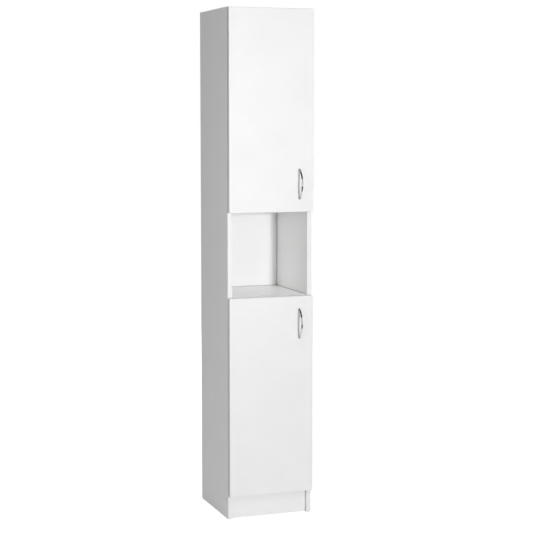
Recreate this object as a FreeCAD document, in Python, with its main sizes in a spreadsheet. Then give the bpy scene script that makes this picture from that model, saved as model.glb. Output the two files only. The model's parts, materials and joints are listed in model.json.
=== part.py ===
# Tall bathroom cabinet: an upper and a lower door with an open niche between them.
# Lengths are in millimetres. The origin is on the floor, in the middle of the overall box.
# +Z is up, the doors face -Y and hang on concealed hinges at the -X side.
import FreeCAD, Part
import Sketcher
import os
import re

doc = FreeCAD.newDocument("tall_cabinet")

# Driving dimensions, one named cell each

SIZES = {
    # Carcass
    "carcass_width": 300,
    "carcass_depth": 300,
    "carcass_height": 1720,
    "board": 16,
    "band_radius": 0.5,
    "niche_height": 282,
    "plinth_height": 80,
    "plinth_recess": 10,
    "plinth_floor_gap": 1,
    "back_thickness": 3,
    "back_rabbet": 8,
    "back_fit_gap": 0.5,
    # Clearances shared by all joints of the carcass
    "drill_clearance": 0.1,
    "drill_spare": 1,
    "overrun": 2,
    # Wooden dowels
    "dowel_radius": 4,
    "dowel_in_side": 10,
    "dowel_in_panel": 22,
    "dowel_front_inset": 48,
    "dowel_rear_inset": 60,
    # Screws of the back panel
    "back_screw_radius": 1.5,
    "back_screw_head_radius": 3,
    "back_screw_head_height": 1.5,
    "back_screw_length": 16,
    "back_screw_side_inset": 70,
    # Loose shelves and their pins
    "shelf_setback": 22,
    "shelf_side_gap": 1,
    "shelf_back_gap": 2,
    "pin_radius": 2.5,
    "pin_in_side": 9,
    "pin_reach": 9,
    "pin_collar_radius": 3.5,
    "pin_collar_thickness": 0.8,
    "pin_front_inset": 45,
    "pin_rear_inset": 45,
    # Floor glides
    "glide_height": 2,
    "glide_radius": 7,
    "glide_nail_radius": 1.25,
    "glide_nail_length": 14,
    "glide_inset": 30,
    # Wall bracket under the top panel
    "bracket_width": 40,
    "bracket_leg": 24,
    "bracket_thickness": 2,
    "bracket_bore_radius": 3,
    "bracket_bore_drop": 14,
    "bracket_screw_spacing": 24,
    "bracket_screw_inset": 13,
    "bracket_screw_radius": 1.75,
    "bracket_screw_length": 12,
    "bracket_head_radius": 3.5,
    "bracket_head_height": 1.6,
    # Doors
    "door_thickness": 16,
    "door_gap": 2,
    "door_side_reveal": 0.5,
    "door_end_reveal": 2,
    "door_edge_radius": 1,
    "bumper_radius": 4,
    "bumper_thickness": 1.7,
    "bumper_end_inset": 30,
    # Bow handles
    "handle_reach": 30,
    "handle_hole_spacing": 96,
    "handle_half_width": 3,
    "handle_half_thickness": 1.8,
    "handle_foot_radius": 3.4,
    "handle_foot_height": 5,
    "handle_edge_inset": 51,
    "handle_end_inset": 45,
    "handle_screw_radius": 2,
    "handle_screw_in_foot": 4,
    "handle_screw_head_radius": 4.2,
    "handle_screw_head_height": 2.4,
    # Hinges: their heights, the cup and its flange
    "hinge_inset": 90,
    "cup_edge_distance": 20.5,
    "cup_radius": 17.5,
    "cup_depth": 12.5,
    "cup_floor": 0.8,
    "cup_fit": 0.1,
    "cup_cavity_half_length": 15.7,
    "cup_cavity_half_width": 5.8,
    "cup_flange_thickness": 1,
    "cup_flange_width": 15,
    "cup_screw_spacing": 48,
    "cup_screw_offset": 6,
    "cup_screw_radius": 1.75,
    "cup_screw_length": 12,
    "cup_screw_head_radius": 3.3,
    "cup_screw_head_height": 0.7,
    # Hinges: pivots, the arm's pair counted from the panel and its front edge
    "outer_arm_pivot_out": 13.4,
    "outer_arm_pivot_back": 19.6,
    "inner_arm_pivot_out": 21,
    "inner_arm_pivot_back": 1.9,
    # Hinges: pivots and bends in the cup, counted from the cup's centre and its rim
    "outer_cup_pivot_offset": 13.2,
    "outer_cup_pivot_depth": 3.7,
    "inner_cup_pivot_offset": 11,
    "inner_cup_pivot_depth": 7.6,
    "outer_bend_offset": 2.4,
    "outer_bend_depth": 7,
    "inner_bend_offset": 7.6,
    "inner_bend_depth": 8.9,
    # Hinges: pins and links
    "pivot_radius": 1.25,
    "pivot_fit": 0.03,
    "pivot_running": 0.05,
    "cup_pivot_half_length": 8.5,
    "eye_radius": 2.2,
    "link_half_thickness": 1,
    "outer_link_inside": 3.4,
    "outer_link_outside": 5.4,
    "inner_link_half_width": 3.1,
    "slot_play": 0.3,
    "slot_wall": 0.6,
    "slot_angle": 67,
    "slot_ahead": 0.2,
    "slot_behind": 1.75,
    # Hinges: arm and mounting plate
    "arm_half_width": 7.1,
    "arm_wall": 1.4,
    "arm_foot": 4,
    "arm_web_inside": 15.9,
    "arm_web_thickness": 1.2,
    "arm_web_start": 23,
    "arm_rear": 62,
    "arm_ear": 2.5,
    "plate_screw_back": 37,
    "plate_screw_spacing": 32,
    "plate_wing_width": 14,
    "plate_wing_thickness": 2.5,
    "plate_block_front": 26,
    "plate_block_rear": 60,
    "plate_block_half_width": 5.2,
    "plate_block_height": 15.6,
    "plate_screw_radius": 2.5,
    "plate_screw_depth": 11,
    "plate_head_radius": 4,
    "plate_head_height": 1.4,
    "arm_screw_radius": 2,
    "arm_screw_depth": 9,
    "arm_screw_head_radius": 3.4,
    "arm_screw_head_height": 1.6,
    "arm_screw_front": 33,
    "arm_screw_rear": 52,
}

# Places worked out from the sizes

PLACES = {
    "half_width": "carcass_width / 2",
    "inner_width": "carcass_width - 2 * board",
    "inner_depth": "carcass_depth - back_thickness",
    "front_y": "(door_gap + door_thickness + handle_reach - carcass_depth) / 2",
    "panel_x": "board - half_width",
    "compartment_height": "(carcass_height - plinth_height - niche_height - 4 * board) / 2",
    "bottom_z": "plinth_height",
    "niche_floor_z": "plinth_height + board + compartment_height",
    "niche_ceiling_z": "niche_floor_z + board + niche_height",
    "top_z": "carcass_height - board",
    "dowel_length": "dowel_in_side + dowel_in_panel",
    "dowel_rear_y": "carcass_depth - dowel_rear_inset",
    "back_width": "inner_width + 2 * (back_rabbet - back_fit_gap)",
    "shelf_width": "inner_width - 2 * shelf_side_gap",
    "shelf_depth": "inner_depth - shelf_setback - shelf_back_gap",
    "pin_front_y": "shelf_setback + pin_front_inset",
    "pin_rear_y": "inner_depth - pin_rear_inset",
    "door_width": "carcass_width - 2 * door_side_reveal",
    "door_height": "compartment_height + 2 * board - 2 * door_end_reveal",
    "door_x": "door_side_reveal - half_width",
    "door_y": "front_y - door_gap - door_thickness",
    "lower_door_z": "bottom_z + door_end_reveal",
    "upper_door_z": "niche_ceiling_z + door_end_reveal",
    "handle_x": "half_width - door_side_reveal - handle_edge_inset",
    "cup_x": "door_side_reveal - board + cup_edge_distance",
    "outer_cup_x": "cup_x - outer_cup_pivot_offset",
    "outer_cup_y": "-door_gap - outer_cup_pivot_depth",
    "inner_cup_x": "cup_x - inner_cup_pivot_offset",
    "inner_cup_y": "-door_gap - inner_cup_pivot_depth",
    "outer_bend_x": "cup_x + outer_bend_offset",
    "outer_bend_y": "-door_gap - outer_bend_depth",
    "inner_bend_x": "cup_x - inner_bend_offset",
    "inner_bend_y": "-door_gap - inner_bend_depth",
    "slot_start_x": "inner_cup_x - slot_behind * cos(slot_angle)",
    "slot_start_y": "inner_cup_y - slot_behind * sin(slot_angle)",
    "slot_end_x": "inner_cup_x + slot_ahead * cos(slot_angle)",
    "slot_end_y": "inner_cup_y + slot_ahead * sin(slot_angle)",
    "slot_half_width": "pivot_radius + slot_play",
    "slot_eye_half_width": "slot_half_width + slot_wall",
    "arm_top": "arm_web_inside + arm_web_thickness",
}
PLINTH_DOWEL_SHARES = (0.25, 0.75)
UPPER_SHELF_SHARES = {"upper_shelf_low": 1 / 3, "upper_shelf_high": 2 / 3}
LOWER_SHELF_SHARES = {"lower_shelf": 1 / 2}
ANGLES = ("slot_angle",)

sheet = doc.addObject("Spreadsheet::Sheet", "sizes")
for row, (alias, value) in enumerate(SIZES.items(), start=1):
    sheet.set("A%d" % row, alias)
    sheet.set("B%d" % row, str(value))
    sheet.setAlias("B%d" % row, alias)
doc.recompute()

nodes = []


# Helpers: formulas, primitives and booleans

def formula(text):
    """The text with each size written as a cell of the sheet and each place worked out."""
    def written_out(match):
        word = match.group(0)
        if word in PLACES:
            return "(" + formula(PLACES[word]) + ")"
        if word in ANGLES:
            return "sizes." + word + " * 1 deg"
        if word in SIZES:
            return "sizes." + word
        return word
    return re.sub("[a-z_]+", written_out, text)


def bind(obj, **formulas):
    for name, text in formulas.items():
        obj.setExpression(name, formula(text))
    return obj


def place(obj, x, y, z):
    for axis, text in zip("xyz", (x, y, z)):
        obj.setExpression("Placement.Base." + axis, formula(text))
    return obj


def node(obj, label):
    obj.Label = label
    nodes.append(obj)
    return obj


def box(start, size):
    solid = bind(doc.addObject("Part::Box", "box"), Length=size[0], Width=size[1], Height=size[2])
    return place(solid, *start)


AXIS_TURNS = {
    "z": FreeCAD.Rotation(),
    "x": FreeCAD.Rotation(FreeCAD.Vector(0, 1, 0), 90),
    "y": FreeCAD.Rotation(FreeCAD.Vector(1, 0, 0), -90),
    "-x": FreeCAD.Rotation(FreeCAD.Vector(0, 1, 0), -90),
    "-y": FreeCAD.Rotation(FreeCAD.Vector(1, 0, 0), 90),
    "-z": FreeCAD.Rotation(FreeCAD.Vector(1, 0, 0), 180),
}


def cylinder(start, axis, radius, length):
    solid = bind(doc.addObject("Part::Cylinder", "cylinder"), Radius=radius, Height=length)
    solid.Placement.Rotation = AXIS_TURNS[axis]
    return place(solid, *start)


def bar(start, end, half_thickness, low, height):
    """A straight bar in plan, from the start point to the end point."""
    run = ("(%s) - (%s)" % (end[0], start[0]), "(%s) - (%s)" % (end[1], start[1]))
    angle = "atan2(%s; %s)" % (run[1], run[0])
    solid = doc.addObject("Part::Box", "bar")
    bind(solid, Length="hypot(%s; %s)" % run, Width="2 * " + half_thickness, Height=height)
    solid.setExpression("Placement.Rotation.Angle", formula(angle))
    x = "%s + %s * sin(%s)" % (start[0], half_thickness, angle)
    y = "%s - %s * cos(%s)" % (start[1], half_thickness, angle)
    return place(solid, x, y, low)


def fuse(shapes):
    solid = doc.addObject("Part::MultiFuse", "fuse")
    solid.Shapes = shapes
    return solid


def cut(base, tools):
    solid = doc.addObject("Part::Cut", "cut")
    solid.Base = base
    solid.Tool = fuse(tools) if len(tools) > 1 else tools[0]
    return solid


def group(label, shapes):
    compound = doc.addObject("Part::Compound", label)
    compound.Links = shapes
    return node(compound, label)


# Helpers: bodies with sketches

def new_body(label, x, y, z):
    body = doc.addObject("PartDesign::Body", label)
    return place(node(body, label), x, y, z)


def sketch_on(body, plane, offset):
    sketch = body.newObject("Sketcher::SketchObject", "sketch")
    support = [feature for feature in body.Origin.OriginFeatures if feature.Role == plane]
    sketch.AttachmentSupport = [(support[0], "")]
    sketch.MapMode = "FlatFace"
    sketch.setExpression("AttachmentOffset.Base.z", formula(offset))
    return sketch


def constrain(sketch, text, *parts):
    index = sketch.addConstraint(Sketcher.Constraint(*parts))
    sketch.setExpression("Constraints[%d]" % index, formula(text))


def outline(sketch, points):
    """A closed polygon whose corners are each held by two formulas."""
    corners = Part.makePolygon([FreeCAD.Vector(i, i * i, 0) for i in range(len(points))], True)
    starts = [vertex.Point for vertex in corners.Vertexes]
    lines = []
    for near, far in zip(starts, starts[1:] + starts[:1]):
        lines.append(sketch.addGeometry(Part.LineSegment(near, far)))
    for line, following in zip(lines, lines[1:] + lines[:1]):
        sketch.addConstraint(Sketcher.Constraint("Coincident", line, 2, following, 1))
    for line, (x, y) in zip(lines, points):
        constrain(sketch, x, "DistanceX", -1, 1, line, 1, 1)
        constrain(sketch, y, "DistanceY", -1, 1, line, 1, 1)


def rectangle(sketch, corner, size):
    left, low = corner
    right = "%s + %s" % (left, size[0])
    high = "%s + %s" % (low, size[1])
    outline(sketch, [(left, low), (right, low), (right, high), (left, high)])


def circles(sketch, centres, radius):
    for x, y in centres:
        spot = FreeCAD.Vector(1, 1, 0)
        ring = sketch.addGeometry(Part.Circle(spot, FreeCAD.Vector(0, 0, 1), 1))
        constrain(sketch, x, "DistanceX", -1, 1, ring, 3, 1)
        constrain(sketch, y, "DistanceY", -1, 1, ring, 3, 1)
        constrain(sketch, radius, "Radius", ring, 1)


def extrude(body, kind, sketch, length, backwards, both_ways):
    feature = body.newObject("PartDesign::" + kind, kind.lower())
    feature.Profile = sketch
    feature.Reversed = backwards
    feature.SideType = "Symmetric" if both_ways else "One side"
    bind(feature, Length=length)
    sketch.Visibility = False
    doc.recompute()
    return feature


def pad(body, sketch, length, backwards=False, both_ways=False):
    return extrude(body, "Pad", sketch, length, backwards, both_ways)


def pocket(body, sketch, length, backwards=False, both_ways=False):
    before = body.Shape.Volume
    feature = extrude(body, "Pocket", sketch, length, backwards, both_ways)
    if body.Shape.Volume >= before:
        raise RuntimeError("a pocket of %s cuts nothing" % body.Label)
    return feature


def round_edges(body, slab, numbers, radius):
    feature = body.newObject("PartDesign::Fillet", "edge_rounding")
    feature.Base = (slab, ["Edge%d" % number for number in numbers])
    bind(feature, Radius=radius)
    doc.recompute()


def round_front(body, slab):
    """Rounds the two long edges of the slab's front face, as an edge band is."""
    front = []
    for number, edge in enumerate(slab.Shape.Edges, start=1):
        if edge.CenterOfMass.y < SIZES["board"]:
            front.append((edge.Length, number))
    round_edges(body, slab, [number for length, number in sorted(front)[-2:]], "band_radius")


def drill(body, plane, offset, centres, radius, depth, backwards=False):
    sketch = sketch_on(body, plane, offset)
    circles(sketch, centres, radius)
    return pocket(body, sketch, depth, backwards)


# Carcass: heights at which the fixed panels join the sides

FIXED_PANELS = {
    "bottom_panel": "bottom_z",
    "niche_floor_shelf": "niche_floor_z",
    "niche_ceiling_shelf": "niche_ceiling_z",
    "top_panel": "top_z",
}
DOWEL_YS = ("dowel_front_inset", "dowel_rear_y")
SHELF_ZS = {}
for shelf, share in UPPER_SHELF_SHARES.items():
    SHELF_ZS[shelf] = "niche_ceiling_z + board + compartment_height * %r" % share
for shelf, share in LOWER_SHELF_SHARES.items():
    SHELF_ZS[shelf] = "bottom_z + board + compartment_height * %r" % share
PIN_YS = ("pin_front_y", "pin_rear_y")
HINGE_ZS = {
    "upper_high": "upper_door_z + door_height - hinge_inset",
    "upper_low": "upper_door_z + hinge_inset",
    "lower_high": "lower_door_z + door_height - hinge_inset",
    "lower_low": "lower_door_z + hinge_inset",
}
panel_dowels = []
for panel_z in FIXED_PANELS.values():
    for dowel_y in DOWEL_YS:
        panel_dowels.append((dowel_y, panel_z + " + board / 2"))
plinth_dowels = []
for share in PLINTH_DOWEL_SHARES:
    plinth_dowels.append(("plinth_recess + board / 2", "plinth_height * %r" % share))
pin_places = []
for shelf_z in SHELF_ZS.values():
    for pin_y in PIN_YS:
        pin_places.append((pin_y, shelf_z + " - pin_radius"))


def side_panel(label, x, inner_face, backwards):
    """A side panel, drilled from its inner face and rabbeted for the back."""
    body = new_body(label, x, "front_y", "0")
    sketch = sketch_on(body, "YZ_Plane", "0")
    rectangle(sketch, ("0", "glide_height"), ("carcass_depth", "carcass_height - glide_height"))
    round_front(body, pad(body, sketch, "board"))
    sketch = sketch_on(body, "YZ_Plane", inner_face)
    rabbet_size = ("back_thickness + overrun", "carcass_height + overrun")
    rectangle(sketch, ("inner_depth", "0"), rabbet_size)
    pocket(body, sketch, "back_rabbet", backwards)
    dowel_bore = "dowel_radius + drill_clearance"
    drill(body, "YZ_Plane", inner_face, panel_dowels + plinth_dowels, dowel_bore,
          "dowel_in_side + drill_spare", backwards)
    drill(body, "YZ_Plane", inner_face, pin_places, "pin_radius + drill_clearance",
          "pin_in_side + drill_spare", backwards)
    glide_nails = [("board / 2", "glide_inset"), ("board / 2", "carcass_depth - glide_inset")]
    drill(body, "XY_Plane", "glide_height", glide_nails, "glide_nail_radius + drill_clearance",
          "glide_nail_length + drill_spare", True)
    return body


def fixed_panel(label, z):
    """A panel between the sides, bored in both ends for dowels and at its rear edge for screws."""
    body = new_body(label, "panel_x", "front_y", z)
    sketch = sketch_on(body, "XY_Plane", "0")
    rectangle(sketch, ("0", "0"), ("inner_width", "inner_depth"))
    round_front(body, pad(body, sketch, "board"))
    bores = [(dowel_y, "board / 2") for dowel_y in DOWEL_YS]
    depth = "dowel_in_panel + drill_spare"
    drill(body, "YZ_Plane", "0", bores, "dowel_radius + drill_clearance", depth, True)
    drill(body, "YZ_Plane", "inner_width", bores, "dowel_radius + drill_clearance", depth)
    screws = [("back_screw_side_inset", "board / 2"),
              ("inner_width - back_screw_side_inset", "board / 2")]
    drill(body, "XZ_Plane", "-inner_depth", screws, "back_screw_radius + drill_clearance",
          "back_screw_length - back_thickness + drill_spare", True)
    return body


left_panel = side_panel("side_panel_left", "-half_width", "board", False)
right_panel = side_panel("side_panel_right", "half_width - board", "0", True)
plate_screw_places = []
for hinge_z in HINGE_ZS.values():
    for side in ("+", "-"):
        plate_screw_places.append(("plate_screw_back", hinge_z + side + "plate_screw_spacing / 2"))
drill(left_panel, "YZ_Plane", "board", plate_screw_places, "plate_screw_radius + drill_clearance",
      "plate_screw_depth + drill_spare")

fixed_bodies = {label: fixed_panel(label, z) for label, z in FIXED_PANELS.items()}
bracket_screws = [("inner_width / 2" + side + "bracket_screw_spacing / 2",
                   "inner_depth - bracket_screw_inset") for side in ("-", "+")]
drill(fixed_bodies["top_panel"], "XY_Plane", "0", bracket_screws,
      "bracket_screw_radius + drill_clearance", "bracket_screw_length + drill_spare", True)


# Carcass: plinth, back and loose shelves

def plinth_board():
    floor_gap = "glide_height + plinth_floor_gap"
    body = new_body("plinth_board", "panel_x", "front_y + plinth_recess", "0")
    sketch = sketch_on(body, "XZ_Plane", "0")
    rectangle(sketch, ("0", floor_gap), ("inner_width", "plinth_height - (%s)" % floor_gap))
    pad(body, sketch, "board", True)
    bores = [("board / 2", z) for y, z in plinth_dowels]
    depth = "dowel_in_panel + drill_spare"
    drill(body, "YZ_Plane", "0", bores, "dowel_radius + drill_clearance", depth, True)
    drill(body, "YZ_Plane", "inner_width", bores, "dowel_radius + drill_clearance", depth)


def back_panel():
    body = new_body("back_panel", "-back_width / 2", "front_y + inner_depth", "0")
    sketch = sketch_on(body, "XZ_Plane", "0")
    rectangle(sketch, ("0", "plinth_height"), ("back_width", "carcass_height - plinth_height"))
    pad(body, sketch, "back_thickness", True)
    first_x = "(back_width - inner_width) / 2 + back_screw_side_inset"
    screws = []
    for z in FIXED_PANELS.values():
        for x in (first_x, "back_width - (%s)" % first_x):
            screws.append((x, z + " + board / 2"))
    drill(body, "XZ_Plane", "0", screws, "back_screw_radius + drill_clearance", "back_thickness")
    drill(body, "XZ_Plane", "-back_thickness", screws, "back_screw_head_radius + drill_clearance",
          "back_screw_head_height", True)
    drill(body, "XZ_Plane", "0", [("back_width / 2", "top_z - bracket_bore_drop")],
          "bracket_bore_radius", "back_thickness")


def loose_shelf(label, z):
    body = new_body(label, "-shelf_width / 2", "front_y + shelf_setback", z)
    sketch = sketch_on(body, "XY_Plane", "0")
    rectangle(sketch, ("0", "0"), ("shelf_width", "shelf_depth"))
    round_front(body, pad(body, sketch, "board"))


plinth_board()
back_panel()
for shelf, shelf_z in SHELF_ZS.items():
    loose_shelf(shelf, shelf_z)


# Carcass: dowels, shelf pins, back screws and floor glides

SIDES = {"x": "panel_x", "-x": "-panel_x"}


def beyond(axis, start, distance):
    """A place along X, measured from the start towards the axis given."""
    sign = "-" if axis == "-x" else "+"
    return "%s %s (%s)" % (start, sign, distance)


def wooden_dowels():
    solids = []
    for axis, face in SIDES.items():
        for y, z in panel_dowels + plinth_dowels:
            start = (beyond(axis, face, "-dowel_in_side"), "front_y + " + y, z)
            solids.append(cylinder(start, axis, "dowel_radius", "dowel_length"))
    group("wooden_dowels", solids)


def shelf_pins():
    solids = []
    for axis, face in SIDES.items():
        for y, z in pin_places:
            back_y = "front_y + " + y
            start = (beyond(axis, face, "-pin_in_side"), back_y, z)
            shank = cylinder(start, axis, "pin_radius", "pin_in_side + pin_reach")
            collar = cylinder((face, back_y, z), axis, "pin_collar_radius", "pin_collar_thickness")
            solids.append(fuse([shank, collar]))
    group("shelf_pins", solids)


def back_screws():
    solids = []
    rear_y = "front_y + carcass_depth"
    for panel_z in FIXED_PANELS.values():
        for side in ("-", "+"):
            x = side + "(inner_width / 2 - back_screw_side_inset)"
            start = (x, rear_y, panel_z + " + board / 2")
            shank = cylinder(start, "-y", "back_screw_radius", "back_screw_length")
            head = cylinder(start, "-y", "back_screw_head_radius", "back_screw_head_height")
            solids.append(fuse([shank, head]))
    group("back_screws", solids)


def floor_glides():
    solids = []
    for side in ("-", "+"):
        for y in ("glide_inset", "carcass_depth - glide_inset"):
            start = (side + "(half_width - board / 2)", "front_y + " + y, "0")
            disc = cylinder(start, "z", "glide_radius", "glide_height")
            nail = cylinder(start, "z", "glide_nail_radius", "glide_height + glide_nail_length")
            solids.append(fuse([disc, nail]))
    group("floor_glides", solids)


wooden_dowels()
shelf_pins()
back_screws()
floor_glides()


# Wall bracket: a steel angle under the top panel with a hole for the wall screw

def wall_bracket():
    left = "-bracket_width / 2"
    back_y = "front_y + inner_depth"
    upper = box((left, back_y + " - bracket_leg", "top_z - bracket_thickness"),
                ("bracket_width", "bracket_leg", "bracket_thickness"))
    rear = box((left, back_y + " - bracket_thickness", "top_z - bracket_leg"),
               ("bracket_width", "bracket_thickness", "bracket_leg"))
    bore = cylinder(("0", back_y + " - bracket_thickness - overrun", "top_z - bracket_bore_drop"),
                    "y", "bracket_bore_radius", "bracket_thickness + 2 * overrun")
    tools = [bore]
    screws = []
    for side in ("-", "+"):
        x = side + "bracket_screw_spacing / 2"
        y = back_y + " - bracket_screw_inset"
        under = "top_z - bracket_thickness"
        tools.append(cylinder((x, y, under + " - overrun"), "z",
                              "bracket_screw_radius + drill_clearance",
                              "bracket_thickness + 2 * overrun"))
        shank = cylinder((x, y, under), "z", "bracket_screw_radius",
                         "bracket_thickness + bracket_screw_length")
        head = cylinder((x, y, under + " - bracket_head_height"), "z", "bracket_head_radius",
                        "bracket_head_height")
        screws.append(fuse([shank, head]))
    node(cut(fuse([upper, rear]), tools), "wall_bracket")
    group("wall_bracket_screws", screws)


wall_bracket()


# Doors with their bores, handles, screws and bumpers

def door(label, z, handle_low):
    """A door bored from behind for its hinge cups and through for its handle."""
    body = new_body(label, "door_x", "door_y", z)
    sketch = sketch_on(body, "XZ_Plane", "0")
    rectangle(sketch, ("0", "0"), ("door_width", "door_height"))
    slab = pad(body, sketch, "door_thickness", True)
    edge_numbers = range(1, len(slab.Shape.Edges) + 1)
    round_edges(body, slab, edge_numbers, "door_edge_radius")
    hinge_levels = ("hinge_inset", "door_height - hinge_inset")
    cups = [("cup_edge_distance", level) for level in hinge_levels]
    drill(body, "XZ_Plane", "-door_thickness", cups, "cup_radius + cup_fit",
          "cup_depth + cup_fit", True)
    pilots = []
    for level in hinge_levels:
        for side in ("+", "-"):
            pilots.append(("cup_edge_distance + cup_screw_offset",
                           level + side + "cup_screw_spacing / 2"))
    drill(body, "XZ_Plane", "-door_thickness", pilots, "cup_screw_radius + drill_clearance",
          "cup_screw_length + drill_spare", True)
    holes = [("door_width - handle_edge_inset", handle_low),
             ("door_width - handle_edge_inset", handle_low + " + handle_hole_spacing")]
    drill(body, "XZ_Plane", "overrun", holes, "handle_screw_radius + drill_clearance",
          "door_thickness + 2 * overrun")


def bow_handle(label, screws_label, low_z):
    """A bow of oval rod between two feet, held by screws from behind the door."""
    rise = "(handle_reach - handle_half_thickness - handle_foot_height / 2)"
    bow_radius = "((handle_hole_spacing / 2) ^ 2 + %s ^ 2) / (2 * %s)" % (rise, rise)
    half_angle = "acos((%s - %s) / (%s))" % (bow_radius, rise, bow_radius)
    crown_y = "door_y - handle_reach + handle_half_thickness"
    middle_z = low_z + " + handle_hole_spacing / 2"
    section = bind(doc.addObject("Part::Ellipse", "bow_section"), MajorRadius="handle_half_width",
                   MinorRadius="handle_half_thickness")
    place(section, "handle_x", crown_y, middle_z)
    bow = doc.addObject("Part::Revolution", "bow")
    bow.Source = section
    bow.Axis = FreeCAD.Vector(1, 0, 0)
    bow.Symmetric = True
    bow.Solid = True
    for axis, text in zip("xyz", ("handle_x", crown_y + " + " + bow_radius, middle_z)):
        bow.setExpression("Base." + axis, formula(text))
    bind(bow, Angle="2 * " + half_angle)
    solids = [bow]
    bores = []
    screws = []
    rear_y = "door_y + door_thickness"
    for z in (low_z, low_z + " + handle_hole_spacing"):
        solids.append(cylinder(("handle_x", "door_y", z), "-y", "handle_foot_radius",
                               "handle_foot_height"))
        bores.append(cylinder(("handle_x", "door_y + overrun", z), "-y",
                              "handle_screw_radius + drill_clearance",
                              "overrun + handle_screw_in_foot + drill_spare"))
        shank = cylinder(("handle_x", rear_y, z), "-y", "handle_screw_radius",
                         "door_thickness + handle_screw_in_foot")
        head = cylinder(("handle_x", rear_y, z), "y", "handle_screw_head_radius",
                        "handle_screw_head_height")
        screws.append(fuse([shank, head]))
    node(cut(fuse(solids), bores), label)
    group(screws_label, screws)


def door_bumpers(label, door_z):
    solids = []
    for z in ("bumper_end_inset", "door_height - bumper_end_inset"):
        start = ("half_width - board / 2", "door_y + door_thickness", door_z + " + " + z)
        solids.append(cylinder(start, "y", "bumper_radius", "bumper_thickness"))
    group(label, solids)


UPPER_HANDLE_LOW = "handle_end_inset"
LOWER_HANDLE_LOW = "door_height - handle_end_inset - handle_hole_spacing"
for name, door_z, handle_low in (("upper", "upper_door_z", UPPER_HANDLE_LOW),
                                 ("lower", "lower_door_z", LOWER_HANDLE_LOW)):
    door("door_" + name, door_z, handle_low)
    bow_handle("handle_" + name, "handle_screws_" + name, door_z + " + " + handle_low)
    door_bumpers("door_bumpers_" + name, door_z)


# Concealed hinges, drawn closed: x from the panel's inner face, y from its front edge

OUTER_ARM = ("outer_arm_pivot_out", "outer_arm_pivot_back")
INNER_ARM = ("inner_arm_pivot_out", "inner_arm_pivot_back")
OUTER_CUP = ("outer_cup_x", "outer_cup_y")
INNER_CUP = ("inner_cup_x", "inner_cup_y")
OUTER_BEND = ("outer_bend_x", "outer_bend_y")
INNER_BEND = ("inner_bend_x", "inner_bend_y")
SLOT_START = ("slot_start_x", "slot_start_y")
SLOT_END = ("slot_end_x", "slot_end_y")


def upright(point, radius, low, height):
    return cylinder((point[0], point[1], low), "z", radius, height)


def at_hinge(obj, label, z):
    return place(node(obj, label), "panel_x", "front_y", z)


def hinge_cup(name, z):
    """The cup in the door: a solid round body with a slot for the links and a screw flange."""
    body = new_body("hinge_cup_" + name, "panel_x", "front_y", z)
    sketch = sketch_on(body, "XZ_Plane", "door_gap")
    circles(sketch, [("cup_x", "0")], "cup_radius")
    pad(body, sketch, "cup_depth")
    rim = "door_gap - cup_flange_thickness"
    sketch = sketch_on(body, "XZ_Plane", rim)
    rectangle(sketch, ("cup_x + cup_screw_offset - cup_flange_width / 2", "-cup_screw_spacing / 2"),
              ("cup_flange_width", "cup_screw_spacing"))
    pad(body, sketch, "cup_flange_thickness")
    screws = [("cup_x + cup_screw_offset", side + "cup_screw_spacing / 2") for side in ("-", "+")]
    sketch = sketch_on(body, "XZ_Plane", rim)
    circles(sketch, screws, "cup_flange_width / 2")
    pad(body, sketch, "cup_flange_thickness")
    sketch = sketch_on(body, "XZ_Plane", rim)
    rectangle(sketch, ("cup_x - cup_cavity_half_length", "-cup_cavity_half_width"),
              ("2 * cup_cavity_half_length", "2 * cup_cavity_half_width"))
    pocket(body, sketch, "cup_flange_thickness + cup_depth - cup_floor", True)
    sketch = sketch_on(body, "XY_Plane", "0")
    circles(sketch, [OUTER_CUP, INNER_CUP], "pivot_radius + pivot_fit")
    pocket(body, sketch, "2 * cup_pivot_half_length", False, True)
    drill(body, "XZ_Plane", rim, screws, "cup_screw_radius + drill_clearance",
          "cup_flange_thickness", True)


def hinge_arm(name, z):
    """The arm: a channel over the mounting plate whose two walls carry the arm's pivots."""
    body = new_body("hinge_arm_" + name, "panel_x", "front_y", z)
    tip_right = "inner_arm_pivot_out + arm_ear"
    tip_left = "inner_arm_pivot_out - arm_ear"
    tip_front = "inner_arm_pivot_back - arm_ear"
    width = "2 * arm_half_width"
    sketch = sketch_on(body, "XY_Plane", "0")
    outline(sketch, [
        ("arm_foot", "arm_rear"),
        ("arm_foot", "outer_arm_pivot_back"),
        ("outer_arm_pivot_out - arm_ear", "outer_arm_pivot_back - arm_ear"),
        (tip_left, "inner_arm_pivot_back"),
        (tip_right, "inner_arm_pivot_back"),
        (tip_right, "inner_arm_pivot_back + arm_ear"),
        ("arm_top", "arm_web_start"),
        ("arm_top", "arm_rear"),
    ])
    pad(body, sketch, width, False, True)
    sketch = sketch_on(body, "XY_Plane", "0")
    circles(sketch, [INNER_ARM], "arm_ear")
    pad(body, sketch, width, False, True)
    inside = "2 * (arm_half_width - arm_wall)"
    sketch = sketch_on(body, "XY_Plane", "0")
    rectangle(sketch, ("arm_foot - overrun", tip_front + " - overrun"),
              ("arm_web_inside - arm_foot + overrun", "arm_rear - (%s) + 2 * overrun" % tip_front))
    pocket(body, sketch, inside, False, True)
    sketch = sketch_on(body, "XY_Plane", "0")
    rectangle(sketch, ("arm_foot", tip_front + " - overrun"),
              (tip_right + " - arm_foot + overrun", "arm_web_start - (%s) + overrun" % tip_front))
    pocket(body, sketch, inside, False, True)
    sketch = sketch_on(body, "XY_Plane", "0")
    circles(sketch, [OUTER_ARM, INNER_ARM], "pivot_radius + pivot_fit")
    pocket(body, sketch, "2 * (arm_half_width + overrun)", False, True)
    screws = [("arm_screw_front", "0"), ("arm_screw_rear", "0")]
    drill(body, "YZ_Plane", "arm_top", screws, "arm_screw_radius + drill_clearance",
          "arm_web_thickness + overrun / 2")


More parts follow.
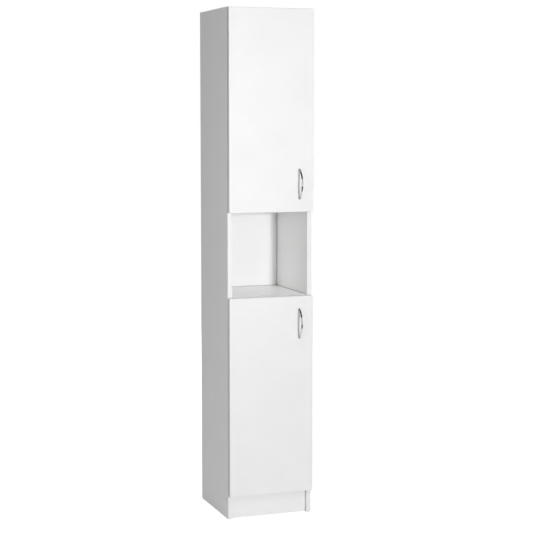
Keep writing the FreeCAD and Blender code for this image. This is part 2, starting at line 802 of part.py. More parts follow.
def mounting_plate(name, z):
    """The plate on the side panel: two screwed wings and a block that the arm sits over."""
    body = new_body("mounting_plate_" + name, "panel_x", "front_y", z)
    sketch = sketch_on(body, "YZ_Plane", "0")
    rectangle(sketch, ("plate_screw_back - plate_wing_width / 2", "-plate_screw_spacing / 2"),
              ("plate_wing_width", "plate_screw_spacing"))
    pad(body, sketch, "plate_wing_thickness")
    screws = [("plate_screw_back", side + "plate_screw_spacing / 2") for side in ("-", "+")]
    sketch = sketch_on(body, "YZ_Plane", "0")
    circles(sketch, screws, "plate_wing_width / 2")
    pad(body, sketch, "plate_wing_thickness")
    sketch = sketch_on(body, "YZ_Plane", "0")
    rectangle(sketch, ("plate_block_front", "-plate_block_half_width"),
              ("plate_block_rear - plate_block_front", "2 * plate_block_half_width"))
    pad(body, sketch, "plate_block_height")
    drill(body, "YZ_Plane", "plate_wing_thickness", screws, "plate_screw_radius + drill_clearance",
          "plate_wing_thickness")
    taps = [("arm_screw_front", "0"), ("arm_screw_rear", "0")]
    drill(body, "YZ_Plane", "plate_block_height", taps, "arm_screw_radius + drill_clearance",
          "arm_screw_depth + drill_spare")


def outer_link(name, z):
    """The long link: two bent cheeks joined by the tube round the arm's rear pivot."""
    low = "-outer_link_outside"
    height = "2 * outer_link_outside"
    solids = [upright(OUTER_ARM, "eye_radius", low, height),
              upright(OUTER_CUP, "eye_radius", low, height),
              upright(OUTER_BEND, "link_half_thickness", low, height),
              bar(OUTER_ARM, OUTER_BEND, "link_half_thickness", low, height),
              bar(OUTER_BEND, OUTER_CUP, "link_half_thickness", low, height)]
    bores = [upright(OUTER_ARM, "pivot_radius + pivot_running", low + " - overrun",
                     height + " + 2 * overrun"),
             upright(OUTER_CUP, "pivot_radius + pivot_running", low + " - overrun",
                     height + " + 2 * overrun")]
    left = "outer_cup_x - eye_radius - overrun"
    front = "outer_bend_y - eye_radius - overrun"
    opening = box((left, front, "-outer_link_inside"),
                  ("arm_top - (%s)" % left,
                   "outer_arm_pivot_back - eye_radius - overrun - (%s)" % front,
                   "2 * outer_link_inside"))
    at_hinge(cut(fuse(solids), bores + [opening]), "outer_link_" + name, z)


def inner_link(name, z):
    """The short link: one bent plate, with a slot round the cup's deep pivot."""
    low = "-inner_link_half_width"
    height = "2 * inner_link_half_width"
    solids = [upright(INNER_ARM, "eye_radius", low, height),
              bar(INNER_ARM, INNER_BEND, "link_half_thickness", low, height),
              upright(INNER_BEND, "link_half_thickness", low, height),
              bar(INNER_BEND, SLOT_START, "link_half_thickness", low, height),
              upright(SLOT_START, "slot_eye_half_width", low, height),
              bar(SLOT_START, SLOT_END, "slot_eye_half_width", low, height),
              upright(SLOT_END, "slot_eye_half_width", low, height)]
    below = low + " - overrun"
    through = height + " + 2 * overrun"
    bores = [upright(INNER_ARM, "pivot_radius + pivot_running", below, through),
             upright(SLOT_START, "slot_half_width", below, through),
             bar(SLOT_START, SLOT_END, "slot_half_width", below, through),
             upright(SLOT_END, "slot_half_width", below, through)]
    at_hinge(cut(fuse(solids), bores), "inner_link_" + name, z)


def at_wall(point, z):
    """A hinge's point in the cabinet's own frame."""
    return ("panel_x + " + point[0], "front_y + " + point[1], z)


def pin(point, hinge_z, low, high):
    """A steel pin between two heights counted from the hinge's middle."""
    start = at_wall(point, "%s + %s" % (hinge_z, low))
    return cylinder(start, "z", "pivot_radius", "%s - (%s)" % (high, low))


def arm_pivots():
    solids = []
    for hinge_z in HINGE_ZS.values():
        for point in (OUTER_ARM, INNER_ARM):
            solids.append(pin(point, hinge_z, "-arm_half_width", "arm_half_width"))
    group("arm_pivots", solids)


def cup_pivots(label, names):
    """A full pin for the inner link and a stub at each side for the outer link's cheeks."""
    solids = []
    for name in names:
        hinge_z = HINGE_ZS[name]
        solids.append(pin(INNER_CUP, hinge_z, "-cup_pivot_half_length", "cup_pivot_half_length"))
        solids.append(pin(OUTER_CUP, hinge_z, "-cup_pivot_half_length", "-outer_link_inside"))
        solids.append(pin(OUTER_CUP, hinge_z, "outer_link_inside", "cup_pivot_half_length"))
    group(label, solids)


def plate_screws():
    solids = []
    for y, z in plate_screw_places:
        start = ("panel_x + plate_wing_thickness", "front_y + " + y, z)
        shank = cylinder(start, "-x", "plate_screw_radius", "plate_wing_thickness + plate_screw_depth")
        head = cylinder(start, "x", "plate_head_radius", "plate_head_height")
        solids.append(fuse([shank, head]))
    group("plate_screws", solids)


def arm_screws():
    solids = []
    for z in HINGE_ZS.values():
        for y in ("arm_screw_front", "arm_screw_rear"):
            start = ("panel_x + arm_top", "front_y + " + y, z)
            shank = cylinder(start, "-x", "arm_screw_radius",
                             "arm_top - plate_block_height + arm_screw_depth")
            head = cylinder(start, "x", "arm_screw_head_radius", "arm_screw_head_height")
            solids.append(fuse([shank, head]))
    group("arm_screws", solids)


def cup_screws(label, names):
    solids = []
    for name in names:
        for side in ("-", "+"):
            flange_y = "cup_flange_thickness - door_gap"
            point = ("cup_x + cup_screw_offset", flange_y)
            start = at_wall(point, HINGE_ZS[name] + side + "cup_screw_spacing / 2")
            shank = cylinder(start, "-y", "cup_screw_radius", "cup_flange_thickness + cup_screw_length")
            head = cylinder(start, "y", "cup_screw_head_radius", "cup_screw_head_height")
            solids.append(fuse([shank, head]))
    group(label, solids)


for name, hinge_z in HINGE_ZS.items():
    hinge_cup(name, hinge_z)
    hinge_arm(name, hinge_z)
    mounting_plate(name, hinge_z)
    outer_link(name, hinge_z)
    inner_link(name, hinge_z)
arm_pivots()
plate_screws()
arm_screws()
for door_name in ("upper", "lower"):
    hinge_names = [name for name in HINGE_ZS if name.startswith(door_name)]
    cup_pivots("cup_pivots_" + door_name, hinge_names)
    cup_screws("cup_screws_" + door_name, hinge_names)


# Checks, then one file for each sub-part

doc.recompute()
for obj in doc.Objects:
    if "Invalid" in obj.State or "Error" in obj.State:
        raise RuntimeError("%s failed: %s" % (obj.Label, obj.State))
for part in nodes:
    if part.Shape.isNull() or not part.Shape.isValid():
        raise RuntimeError("%s has no valid shape" % part.Label)
os.makedirs("parts", exist_ok=True)
for part in nodes:
    part.Shape.exportStep("parts/%s.step" % part.Label)
print("%d sub-parts written" % len(nodes))
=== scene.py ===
# Looks of the tall bathroom cabinet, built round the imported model, in metres.
import json
import math

import bmesh
import bpy
from mathutils import Matrix, Vector

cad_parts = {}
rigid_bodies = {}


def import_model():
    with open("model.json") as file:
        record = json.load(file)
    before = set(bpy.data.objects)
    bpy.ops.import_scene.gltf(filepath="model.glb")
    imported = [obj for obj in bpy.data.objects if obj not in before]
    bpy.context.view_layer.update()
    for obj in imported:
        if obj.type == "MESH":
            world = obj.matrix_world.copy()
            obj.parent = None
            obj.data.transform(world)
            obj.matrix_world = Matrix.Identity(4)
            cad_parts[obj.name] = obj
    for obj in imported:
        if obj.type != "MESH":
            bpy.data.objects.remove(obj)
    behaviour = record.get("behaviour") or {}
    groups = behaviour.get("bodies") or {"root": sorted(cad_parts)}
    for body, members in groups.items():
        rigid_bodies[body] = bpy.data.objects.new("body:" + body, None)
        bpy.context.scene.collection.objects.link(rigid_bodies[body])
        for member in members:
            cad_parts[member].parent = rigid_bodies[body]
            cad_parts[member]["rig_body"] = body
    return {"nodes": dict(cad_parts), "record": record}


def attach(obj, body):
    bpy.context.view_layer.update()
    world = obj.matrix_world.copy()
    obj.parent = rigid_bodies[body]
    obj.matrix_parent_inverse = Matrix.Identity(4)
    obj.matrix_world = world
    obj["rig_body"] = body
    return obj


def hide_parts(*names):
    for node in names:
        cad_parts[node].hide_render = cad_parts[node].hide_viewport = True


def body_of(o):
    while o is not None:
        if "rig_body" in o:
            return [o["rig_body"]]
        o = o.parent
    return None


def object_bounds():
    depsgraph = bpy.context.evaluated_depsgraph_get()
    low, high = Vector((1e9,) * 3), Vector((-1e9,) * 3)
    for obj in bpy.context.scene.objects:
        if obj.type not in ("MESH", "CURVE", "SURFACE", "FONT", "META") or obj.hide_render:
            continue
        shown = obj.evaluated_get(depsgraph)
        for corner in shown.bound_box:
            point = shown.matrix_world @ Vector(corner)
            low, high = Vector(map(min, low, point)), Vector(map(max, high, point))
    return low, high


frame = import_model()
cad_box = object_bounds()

NODES = frame["nodes"]
DOORS = ("door_upper", "door_lower")
HANDLES = ("handle_upper", "handle_lower")
MILLIMETRE = 0.001
WHITE = (1, 1, 1, 1)

# Camera: fitted to the photograph's outline with no shift, its angles in degrees
PHOTO_WIDTH = 533
FOCAL_PIXELS = 1450.8
SENSOR_WIDTH = 36.0
CAMERA_PLACE = (-1.6508, -4.6962, 1.3555)
CAMERA_TURN = 19.72
CAMERA_DIP = 5.83

# Light: round soft boxes by place, diameter and watts
SOFT_BOXES = {
    "key": ((0.45, -4.6, 1.34), 0.45, 110.0),
    "sheen": ((0.75, -4.6, 1.4), 0.45, 22.0),
    "near": ((-1.3, -1.4, 1.2), 0.8, 8.0),
    "top": ((0.2, -3.0, 3.4), 1.6, 13.6),
    "rear": ((2.0, 3.4, 1.7), 1.6, 36.0),
}
OVERHEAD = ((0.0, 0.0, 4.2), 1.4, 25.0)
NICHE_FILL = ((0.0, -1.1, 1.85), 0.8, 3.7)
LAMPS_WITHOUT_GLOSS = ("key", "rear")
LAMPS_FOR_GLOSS = ("sheen",)

# Surround: how strongly it lights the object, and how bright it looks when it is seen or mirrored
SURROUND_LEVEL = 0.13
BACKDROP_LEVEL = 1.0

# Floor: pale, wide enough to reach behind the view
FLOOR_SIZE = 40.0
FLOOR_COLOUR = (0.80, 0.80, 0.80, 1)
MATT = 0.9
FLOOR_GLOW = 0.84

# Dark flags that only gloss reflects, each by its lowest and its highest corner
FLAG_COLOUR = (0.02, 0.02, 0.02, 1)
FLAG_REACH = 8
FLAG_HEIGHT = 3.2
FLAG_LIFT = 0.02
FLAGS = {
    "overhead_flag": ((-FLAG_REACH, -3.2, FLAG_HEIGHT), (FLAG_REACH, 1.5, FLAG_HEIGHT)),
    "floor_flag": ((-FLAG_REACH, -3.6, FLAG_LIFT), (FLAG_REACH, -1.0, FLAG_LIFT)),
    "left_flag": ((-5, -4, 0), (-5, 0.5, FLAG_HEIGHT)),
    "right_flag": ((4, -4, 0), (4, 0.5, FLAG_HEIGHT)),
}


# Materials: one helper that holds a shader and adds procedural detail to it

NOISE_DETAIL = 3.0
NOISE_RANGE = (0.3, 0.7)
RISING = (0.0, 1.0)
FALLING = (1.0, 0.0)
# A mix node's colour sockets by number, because its other kinds of socket have the same names
MIX_COLOURS = (6, 7)
MIX_RESULT = 2


class Surface:
    """A node material in object coordinates, with a principled shader."""

    def __init__(self, name, **sockets):
        self.material = bpy.data.materials.new(name)
        self.material.use_nodes = True
        self.tree = self.material.node_tree
        self.shader = self.tree.nodes["Principled BSDF"]
        for socket, value in sockets.items():
            self.shader.inputs[socket].default_value = value
        self.place = self.tree.nodes.new("ShaderNodeTexCoord").outputs["Object"]
        self.normal = self.tree.nodes.new("ShaderNodeNewGeometry").outputs["Normal"]

    def link(self, source, target):
        self.tree.links.new(source, target)

    def stretch(self, scales):
        """The object coordinates, scaled along each axis."""
        node = self.tree.nodes.new("ShaderNodeMapping")
        node.inputs["Scale"].default_value = scales
        self.link(self.place, node.inputs["Vector"])
        return node.outputs["Vector"]

    def noise(self, size, detail=NOISE_DETAIL, place=None):
        """Noise whose features are about the given size."""
        node = self.tree.nodes.new("ShaderNodeTexNoise")
        node.inputs["Scale"].default_value = 1 / size
        node.inputs["Detail"].default_value = detail
        self.link(place or self.place, node.inputs["Vector"])
        return node.outputs["Fac"]

    def cells(self, size):
        """Cells of about the given size, each with a colour of its own."""
        node = self.tree.nodes.new("ShaderNodeTexVoronoi")
        node.inputs["Scale"].default_value = 1 / size
        self.link(self.place, node.inputs["Vector"])
        return node.outputs["Color"]

    def openness(self, reach):
        """One on open faces, falling towards a half in a corner."""
        node = self.tree.nodes.new("ShaderNodeAmbientOcclusion")
        node.inputs["Distance"].default_value = reach
        return node.outputs["AO"]

    def calculate(self, operation, *values):
        """The result of arithmetic on one or two other nodes' outputs."""
        node = self.tree.nodes.new("ShaderNodeMath")
        node.operation = operation
        for socket, value in zip(node.inputs, values):
            self.link(value, socket)
        return node.outputs["Value"]

    def axes(self, vector):
        node = self.tree.nodes.new("ShaderNodeSeparateXYZ")
        self.link(vector, node.inputs["Vector"])
        return node.outputs

    def grey(self, colour):
        node = self.tree.nodes.new("ShaderNodeRGBToBW")
        self.link(colour, node.inputs["Color"])
        return node.outputs["Val"]

    def span(self, source, result, usual=NOISE_RANGE):
        """The source, spread from its usual range to the result's."""
        node = self.tree.nodes.new("ShaderNodeMapRange")
        sockets = ("From Min", "From Max", "To Min", "To Max")
        for socket, value in zip(sockets, (*usual, *result)):
            node.inputs[socket].default_value = value
        self.link(source, node.inputs["Value"])
        return node.outputs["Result"]

    def mix(self, factor, first, second):
        """A colour between two, each a plain colour or another node's output."""
        node = self.tree.nodes.new("ShaderNodeMix")
        node.data_type = "RGBA"
        self.link(factor, node.inputs["Factor"])
        for number, value in zip(MIX_COLOURS, (first, second)):
            if isinstance(value, tuple):
                node.inputs[number].default_value = (*value, 1)
            else:
                self.link(value, node.inputs[number])
        return node.outputs[MIX_RESULT]

    def colour(self, source):
        self.link(source, self.shader.inputs["Base Color"])

    def roughness(self, source):
        self.link(source, self.shader.inputs["Roughness"])

    def bump(self, height, strength, depth):
        node = self.tree.nodes.new("ShaderNodeBump")
        node.inputs["Strength"].default_value = strength
        node.inputs["Distance"].default_value = depth
        self.link(height, node.inputs["Height"])
        self.link(node.outputs["Normal"], self.shader.inputs["Normal"])


# Materials: laminated boards

LAMINATE = (0.94, 0.94, 0.938)
LAMINATE_SHADE = (0.92, 0.92, 0.918)
# The doors and the front edge bands: a darker copy of the boards' white, painted shade
SHADED_LAMINATE = (0.85, 0.85, 0.848)
SHADED_LAMINATE_BLOTCH = (0.83, 0.83, 0.828)
BLOTCH_SIZE = 90 * MILLIMETRE
LAMINATE_ROUGHNESS = (0.34, 0.42)
SATIN_SIZE = 6 * MILLIMETRE
PORE_SIZE = 0.9 * MILLIMETRE
PORE_STRENGTH = 0.06
PORE_DEPTH = 0.08 * MILLIMETRE
# Painted shade in corners and seams: its colour, its reach, and the openness over which it fades
CREASE_SHADE = (0.30, 0.30, 0.29)
CREASE_SHADE_REACH = 7 * MILLIMETRE
CREASE_SHADE_RANGE = (0.45, 0.80)
CHIP_LIGHT = (0.58, 0.42, 0.26)
CHIP_DARK = (0.24, 0.15, 0.08)
CHIP_SIZE = 2.4 * MILLIMETRE
CHIP_FIBRE_SIZE = 1.1 * MILLIMETRE
CHIP_FIBRE_SHADE = (0.5, 1.3)
CHIP_RANGE = (0.15, 0.75)

# Ranges of a face's normal in which a board's looks change: towards its front edge, towards its rear
# edge, from curved to flat, and from sideways to rearward
FRONT_EDGE = (-0.8, -0.6)
REAR_EDGE = (0.90, 0.95)
FLAT_FACE = (0.990, 0.999)
REARWARD = (-0.05, 0.0)


def blotched(surface, light, dark):
    """A board's white, which wanders a little over the length of a hand."""
    return surface.mix(surface.span(surface.noise(BLOTCH_SIZE), RISING), light, dark)


def laminate_colour(surface):
    return blotched(surface, LAMINATE, LAMINATE_SHADE)


# A darker copy of the laminate's white: painted shade for the doors and the front edge bands
def shaded_laminate_colour(surface):
    return blotched(surface, SHADED_LAMINATE, SHADED_LAMINATE_BLOTCH)


def crease_shaded(surface, colour):
    """The colour with painted shade: darker where other faces are near, in seams, corners and
    recesses.
    """
    openness = surface.span(surface.openness(CREASE_SHADE_REACH), RISING, CREASE_SHADE_RANGE)
    return surface.mix(openness, CREASE_SHADE, colour)


def laminate_finish(surface):
    """The satin face of the board: a fine emboss with a gloss that varies a little."""
    surface.roughness(surface.span(surface.noise(SATIN_SIZE), LAMINATE_ROUGHNESS))
    surface.bump(surface.noise(PORE_SIZE), PORE_STRENGTH, PORE_DEPTH)


def chipboard_colour(surface):
    chips = surface.grey(surface.cells(CHIP_SIZE))
    fibres = surface.noise(CHIP_FIBRE_SIZE)
    shade = surface.calculate("MULTIPLY", chips, surface.span(fibres, CHIP_FIBRE_SHADE))
    return surface.mix(surface.span(shade, RISING, CHIP_RANGE), CHIP_DARK, CHIP_LIGHT)


def door_laminate(name):
    surface = Surface(name)
    # The boards' white made darker as painted shade, with painted shade in the corners as well
    surface.colour(crease_shaded(surface, shaded_laminate_colour(surface)))
    laminate_finish(surface)
    return surface.material


def board(name):
    """Laminate on the faces, painted shade on the front edge band, chipboard at the rear edge and in
    bores.
    """
    surface = Surface(name)
    sides = surface.axes(surface.normal)
    front = surface.span(sides["Y"], FALLING, FRONT_EDGE)
    rear = surface.span(sides["Y"], RISING, REAR_EDGE)
    flatness = surface.calculate("ABSOLUTE", sides["X"])
    for axis in ("Y", "Z"):
        flatness = surface.calculate("MAXIMUM", flatness, surface.calculate("ABSOLUTE", sides[axis]))
    curved = surface.span(flatness, FALLING, FLAT_FACE)
    bare = surface.calculate("MAXIMUM", rear, curved)
    bare = surface.calculate("MULTIPLY", bare, surface.span(sides["Y"], RISING, REARWARD))
    faced = surface.mix(front, laminate_colour(surface), shaded_laminate_colour(surface))
    # Painted shade in the corners, over the laminate and its darker copy on the front edge
    surface.colour(surface.mix(bare, crease_shaded(surface, faced), chipboard_colour(surface)))
    laminate_finish(surface)
    return surface.material


# Materials: hardboard of the back panel

HARDBOARD_REAR = (0.2, 0.6)
HARDBOARD_ROUGHNESS = (0.45, 0.58)
HARDBOARD_SATIN_SIZE = 8 * MILLIMETRE
FIBRE_LIGHT = (0.36, 0.24, 0.14)
FIBRE_DARK = (0.22, 0.14, 0.08)
FIBRE_SIZE = 1.4 * MILLIMETRE
FIBRE_DETAIL = 6.0
FIBRE_STRENGTH = 0.08
FIBRE_DEPTH = 0.08 * MILLIMETRE


def hardboard(name):
    """Thin fibreboard: painted white in front, bare brown fibre behind."""
    surface = Surface(name)
    behind = surface.span(surface.axes(surface.normal)["Y"], RISING, HARDBOARD_REAR)
    fibres = surface.noise(FIBRE_SIZE, FIBRE_DETAIL)
    bare = surface.mix(surface.span(fibres, RISING), FIBRE_DARK, FIBRE_LIGHT)
    # The white front gets painted shade in its corners; the bare fibre behind does not
    surface.colour(surface.mix(behind, crease_shaded(surface, laminate_colour(surface)), bare))
    surface.roughness(surface.span(surface.noise(HARDBOARD_SATIN_SIZE), HARDBOARD_ROUGHNESS))
    surface.bump(fibres, FIBRE_STRENGTH, FIBRE_DEPTH)
    return surface.material


# Materials: beech of the dowels

BEECH_LIGHT = (0.56, 0.37, 0.21)
BEECH_DARK = (0.42, 0.25, 0.13)
BEECH_ROUGHNESS = 0.6
GRAIN_SIZE = 0.7 * MILLIMETRE
GRAIN_DETAIL = 4.0
GRAIN_SCALES = (0.08, 1, 1)
GRAIN_STRENGTH = 0.2
GRAIN_DEPTH = 0.1 * MILLIMETRE


def beech(name):
    surface = Surface(name, Roughness=BEECH_ROUGHNESS)
    grain = surface.noise(GRAIN_SIZE, GRAIN_DETAIL, surface.stretch(GRAIN_SCALES))
    surface.colour(surface.mix(surface.span(grain, RISING), BEECH_DARK, BEECH_LIGHT))
    surface.bump(grain, GRAIN_STRENGTH, GRAIN_DEPTH)
    return surface.material


# Materials: plated metals, each with a light and a dark colour, a roughness range and a patch size

CHROME_COLOURS = ((0.53, 0.53, 0.54), (0.48, 0.48, 0.50))
CHROME_ROUGHNESS = (0.04, 0.09)
CHROME_PATCH = 6 * MILLIMETRE
NICKEL_COLOURS = ((0.66, 0.64, 0.60), (0.62, 0.60, 0.565))
NICKEL_ROUGHNESS = (0.20, 0.26)
NICKEL_PATCH = 9 * MILLIMETRE
ZINC_COLOURS = ((0.70, 0.71, 0.73), (0.62, 0.63, 0.66))
ZINC_ROUGHNESS = (0.24, 0.34)
ZINC_PATCH = 3 * MILLIMETRE
CLOUD_DETAIL = 4.0
SCUFFS_PER_PATCH = 3
SCUFF_DETAIL = 5.0
RIPPLES_PER_PATCH = 8
RIPPLE_STRENGTH = 0.02
RIPPLE_DEPTH = 0.01 * MILLIMETRE


def plated(name, colours, roughness, patch):
    """Plated metal: a slightly cloudy gloss with fine scuffs."""
    light, dark = colours
    surface = Surface(name, Metallic=1.0)
    clouds = surface.noise(patch, CLOUD_DETAIL)
    surface.colour(surface.mix(surface.span(clouds, RISING), dark, light))
    scuffs = surface.noise(patch / SCUFFS_PER_PATCH, SCUFF_DETAIL)
    surface.roughness(surface.span(scuffs, roughness))
    surface.bump(surface.noise(patch / RIPPLES_PER_PATCH), RIPPLE_STRENGTH, RIPPLE_DEPTH)
    return surface.material


# Materials: polymers, each with a light and a dark colour and a roughness range

GLIDE_COLOURS = ((0.82, 0.82, 0.79), (0.76, 0.76, 0.73))
GLIDE_ROUGHNESS = (0.40, 0.55)
BUMPER_COLOURS = ((0.80, 0.81, 0.82), (0.74, 0.75, 0.77))
BUMPER_ROUGHNESS = (0.25, 0.40)
POLYMER_CLOUD_SIZE = 3 * MILLIMETRE
POLYMER_GLOSS_SIZE = 1.5 * MILLIMETRE
POLYMER_STRENGTH = 0.05
POLYMER_DEPTH = 0.1 * MILLIMETRE


def polymer(name, colours, roughness):
    light, dark = colours
    surface = Surface(name)
    clouds = surface.noise(POLYMER_CLOUD_SIZE)
    surface.colour(surface.mix(surface.span(clouds, RISING), dark, light))
    surface.roughness(surface.span(surface.noise(POLYMER_GLOSS_SIZE), roughness))
    surface.bump(clouds, POLYMER_STRENGTH, POLYMER_DEPTH)
    return surface.material


# Finishes: one material for each slot of the record, and the doors' own, painted darker as shade

finishes = {
    "white_laminate": board("board"),
    "white_hardboard": hardboard("hardboard"),
    "beech": beech("beech"),
    "chrome": plated("chrome", CHROME_COLOURS, CHROME_ROUGHNESS, CHROME_PATCH),
    "nickel_steel": plated("nickel", NICKEL_COLOURS, NICKEL_ROUGHNESS, NICKEL_PATCH),
    "zinc_steel": plated("zinc", ZINC_COLOURS, ZINC_ROUGHNESS, ZINC_PATCH),
    "glide_plastic": polymer("glide", GLIDE_COLOURS, GLIDE_ROUGHNESS),
    "bumper_rubber": polymer("bumper", BUMPER_COLOURS, BUMPER_ROUGHNESS),
}
door_finish = door_laminate("door_laminate")
slots = {part["node"]: part["material_slot"] for part in frame["record"]["subparts"]}


def dress(obj, material):
    obj.data.materials.clear()
    obj.data.materials.append(material)


for name, obj in NODES.items():
    dress(obj, finishes[slots[name]])
for name in DOORS:
    dress(NODES[name], door_finish)


# Screws: domed heads with a cross recess, read from the plain screws that they stand for

SCREW_NODES = [name for name in NODES if "screws" in name]
MERGE_DISTANCE = 0.001 * MILLIMETRE
SEGMENTS = 32
TIP_LENGTH_SHARE = 0.15
TIP_RADIUS_SHARE = 0.3
HEAD_RIM_SHARE = 0.95
HEAD_SHARES = ((1.0, 0.0), (1.0, 0.35), (0.96, 0.58), (0.88, 0.77), (0.76, 0.91), (0.62, 1.0))
CROSS_ARMS = 4
CROSS_REACH_SHARE = 0.48
CROSS_HALF_WIDTH_SHARE = 0.12
CROSS_DEPTH_SHARE = 0.6
CROSS_TAPER_SHARE = 0.7
SHARP_ANGLE = math.radians(35)


def solids_of(obj):
    """The points of each separate solid of a node, in the order of the mesh."""
    shape = bmesh.new()
    shape.from_mesh(obj.data)
    bmesh.ops.remove_doubles(shape, verts=shape.verts, dist=MERGE_DISTANCE)
    unseen = set(shape.verts)
    solids = []
    for start in shape.verts:
        if start not in unseen:
            continue
        unseen.remove(start)
        waiting = [start]
        points = []
        while waiting:
            vert = waiting.pop()
            points.append(vert.co.copy())
            near = {edge.other_vert(vert) for edge in vert.link_edges} & unseen
            unseen -= near
            waiting.extend(near)
        solids.append(points)
    shape.free()
    return solids


def measure(points):
    """A screw's frame, with its seat at the origin and its head along +Z, and its sizes."""
    low = Vector([min(point[axis] for point in points) for axis in range(3)])
    high = Vector([max(point[axis] for point in points) for axis in range(3)])
    size = high - low
    along = max(range(3), key=lambda axis: size[axis])
    # The two widths of the head, added, are four radii.
    head_radius = (sum(size) - size[along]) / 4
    direction = Vector((0, 0, 0))
    direction[along] = 1
    centre = (low + high) / 2
    places = []
    for point in points:
        height = (point - centre).dot(direction)
        radius = (point - centre - height * direction).length
        places.append((height, radius))
    head = [height for height, radius in places if radius > HEAD_RIM_SHARE * head_radius]
    if sum(head) < 0:
        direction = -direction
        places = [(-height, radius) for height, radius in places]
        head = [-height for height in head]
    tip = min(height for height, radius in places)
    seat = min(head)
    shank_radius = max(radius for height, radius in places if height < (tip + seat) / 2)
    turn = Vector((0, 0, 1)).rotation_difference(direction).to_matrix().to_4x4()
    frame_matrix = Matrix.Translation(centre + seat * direction) @ turn
    return frame_matrix, head_radius, max(head) - seat, shank_radius, seat - tip


def ring(shape, points):
    """A closed loop of new points."""
    verts = [shape.verts.new(point) for point in points]
    edges = [shape.edges.new(pair) for pair in zip(verts, verts[1:] + verts[:1])]
    return verts, edges


def round_ring(shape, radius, height):
    points = []
    for step in range(SEGMENTS):
        angle = 2 * math.pi * step / SEGMENTS
        points.append((radius * math.cos(angle), radius * math.sin(angle), height))
    return ring(shape, points)


def cross_ring(shape, reach, half_width, height):
    """The outline of a cross with equal arms."""
    points = []
    for arm in range(CROSS_ARMS):
        turn = Matrix.Rotation(2 * math.pi * arm / CROSS_ARMS, 3, "Z")
        for corner in ((half_width, -half_width), (reach, -half_width), (reach, half_width)):
            points.append(turn @ Vector((*corner, height)))
    return ring(shape, points)


def add_screw(shape, frame_matrix, head_radius, head_height, shank_radius, length):
    """One screw as rings from its tip to its recess, joined into a skin and closed at both ends."""
    first = len(shape.verts)
    tip_radius = shank_radius * TIP_RADIUS_SHARE
    tip_end = -length * (1 - TIP_LENGTH_SHARE)
    profile = [(tip_radius, -length), (shank_radius, tip_end), (shank_radius, 0)]
    profile += [(head_radius * across, head_height * up) for across, up in HEAD_SHARES]
    rings = [round_ring(shape, radius, height) for radius, height in profile]
    reach = head_radius * CROSS_REACH_SHARE
    half_width = head_radius * CROSS_HALF_WIDTH_SHARE
    recess_floor = head_height * (1 - CROSS_DEPTH_SHARE)
    rings.append(cross_ring(shape, reach, half_width, head_height))
    floor_reach = reach * CROSS_TAPER_SHARE
    floor_half_width = half_width * CROSS_TAPER_SHARE
    rings.append(cross_ring(shape, floor_reach, floor_half_width, recess_floor))
    for (verts, edges), (next_verts, next_edges) in zip(rings, rings[1:]):
        bmesh.ops.bridge_loops(shape, edges=edges + next_edges)
    shape.faces.new(rings[0][0])
    shape.faces.new(rings[-1][0])
    shape.verts.ensure_lookup_table()
    bmesh.ops.transform(shape, matrix=frame_matrix, verts=shape.verts[first:])


def detailed_screws(name):
    """A piece that takes the place of a node's plain screws and rides the same body."""
    plain = NODES[name]
    shape = bmesh.new()
    for points in solids_of(plain):
        add_screw(shape, *measure(points))
    bmesh.ops.recalc_face_normals(shape, faces=shape.faces)
    for edge in shape.edges:
        edge.smooth = edge.calc_face_angle(0) < SHARP_ANGLE
    for face in shape.faces:
        face.smooth = True
    mesh = bpy.data.meshes.new(name + "_detailed")
    shape.to_mesh(mesh)
    shape.free()
    piece = bpy.data.objects.new(mesh.name, mesh)
    bpy.context.scene.collection.objects.link(piece)
    dress(piece, finishes[slots[name]])
    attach(piece, body_of(plain)[0])
    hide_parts(name)


for name in SCREW_NODES:
    detailed_screws(name)


# Stage: floor, flags and surround

def light_path(tree):
    """One for rays that see the backdrop itself, nought for rays that only light the object."""
    rays = tree.nodes.new("ShaderNodeLightPath").outputs
    seen = rays["Is Camera Ray"]
    for name in ("Is Glossy Ray", "Is Transmission Ray"):
        node = tree.nodes.new("ShaderNodeMath")
        node.operation = "MAXIMUM"
        tree.links.new(seen, node.inputs[0])
        tree.links.new(rays[name], node.inputs[1])
        seen = node.outputs["Value"]
    return seen


def stage_sheet(name, low, high, colour):
    """A matt rectangle of the stage, level or facing along X."""
    near = (high[0], low[1], low[2])
    far = (low[0], high[1], high[2])
    mesh = bpy.data.meshes.new(name)
    mesh.from_pydata([low, near, high, far], [], [(0, 1, 2, 3)])
    material = bpy.data.materials.new(name)
    material.use_nodes = True
    shader = material.node_tree.nodes["Principled BSDF"]
    shader.inputs["Base Color"].default_value = colour
    shader.inputs["Roughness"].default_value = MATT
    mesh.materials.append(material)
    obj = bpy.data.objects.new(name, mesh)
    bpy.context.scene.collection.objects.link(obj)
    return obj


def flag(name, low, high):
    """A dark card that the metal mirrors and that neither shades nor lights the object."""
    obj = stage_sheet(name, low, high, FLAG_COLOUR)
    obj.visible_camera = False
    obj.visible_diffuse = False
    obj.visible_shadow = False


def floor():
    """A pale floor that looks white where it is lit and keeps the object's shadow."""
    half = FLOOR_SIZE / 2
    obj = stage_sheet("floor", (-half, -half, 0), (half, half, 0), FLOOR_COLOUR)
    tree = obj.active_material.node_tree
    shader = tree.nodes["Principled BSDF"]
    shader.inputs["Emission Color"].default_value = WHITE
    glow = tree.nodes.new("ShaderNodeMath")
    glow.operation = "MULTIPLY"
    glow.inputs[1].default_value = FLOOR_GLOW
    tree.links.new(light_path(tree), glow.inputs[0])
    tree.links.new(glow.outputs["Value"], shader.inputs["Emission Strength"])
    return obj


def surround():
    """An even white world that lights the object weakly and looks white where it is seen."""
    world = bpy.data.worlds.new("surround")
    bpy.context.scene.world = world
    world.use_nodes = True
    tree = world.node_tree
    shader = tree.nodes["Background"]
    shader.inputs["Color"].default_value = WHITE
    level = tree.nodes.new("ShaderNodeMapRange")
    level.inputs["To Min"].default_value = SURROUND_LEVEL
    level.inputs["To Max"].default_value = BACKDROP_LEVEL
    tree.links.new(light_path(tree), level.inputs["Value"])
    tree.links.new(level.outputs["Result"], shader.inputs["Strength"])


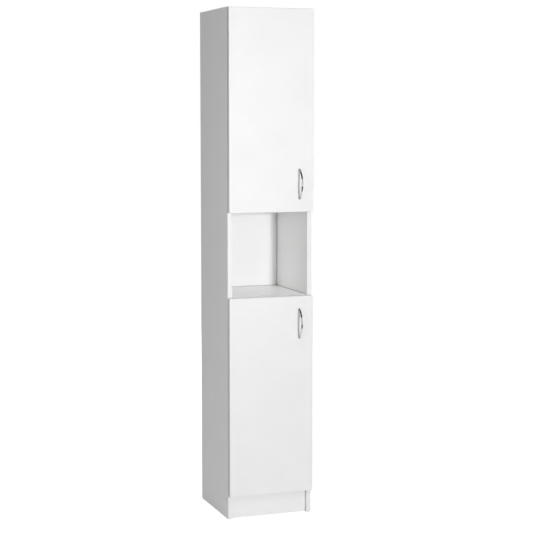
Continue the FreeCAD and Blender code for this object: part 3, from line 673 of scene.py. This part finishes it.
ground = floor()
for name, corners in FLAGS.items():
    flag(name, *corners)
surround()


# Lamps, which all point at the middle of the cabinet

middle = (cad_box[0] + cad_box[1]) / 2


def lamp_group(name, objects, state):
    """The objects that a lamp leaves out (EXCLUDE), or lights alone (INCLUDE)."""
    collection = bpy.data.collections.new(name)
    for obj in objects:
        collection.objects.link(obj)
    for entry in collection.collection_objects:
        entry.light_linking.link_state = state
    return collection


def soft_box(name, place, diameter, power, group):
    lamp = bpy.data.lights.new(name, "AREA")
    lamp.shape = "DISK"
    lamp.size = diameter
    lamp.energy = power
    obj = bpy.data.objects.new(name, lamp)
    obj.location = place
    obj.rotation_euler = (middle - Vector(place)).to_track_quat("-Z", "Y").to_euler()
    obj.visible_glossy = name not in LAMPS_WITHOUT_GLOSS
    obj.visible_diffuse = name not in LAMPS_FOR_GLOSS
    obj.light_linking.receiver_collection = group
    bpy.context.scene.collection.objects.link(obj)


# The bright handles mirror the surround and the flags alone.
mirrors = [NODES[name] for name in HANDLES]
spared_mirrors = lamp_group("spared_mirrors", mirrors, "EXCLUDE")
for name, setting in SOFT_BOXES.items():
    soft_box(name, *setting, spared_mirrors)

# The overhead lamp spares the floor too, and the fill lights the niche through its floor shelf alone.
spared_floor = lamp_group("spared_floor", [*mirrors, ground], "EXCLUDE")
soft_box("overhead", *OVERHEAD, spared_floor)
filled_niche = lamp_group("filled_niche", [NODES["niche_floor_shelf"]], "INCLUDE")
soft_box("niche_fill", *NICHE_FILL, filled_niche)


# Camera

def camera():
    data = bpy.data.cameras.new("camera")
    data.sensor_width = SENSOR_WIDTH
    data.lens = SENSOR_WIDTH * FOCAL_PIXELS / PHOTO_WIDTH
    obj = bpy.data.objects.new("camera", data)
    obj.location = CAMERA_PLACE
    obj.rotation_euler = (math.radians(90 - CAMERA_DIP), 0, math.radians(-CAMERA_TURN))
    bpy.context.scene.collection.objects.link(obj)
    bpy.context.scene.camera = obj


camera()
bpy.context.scene.view_settings.view_transform = "Standard"
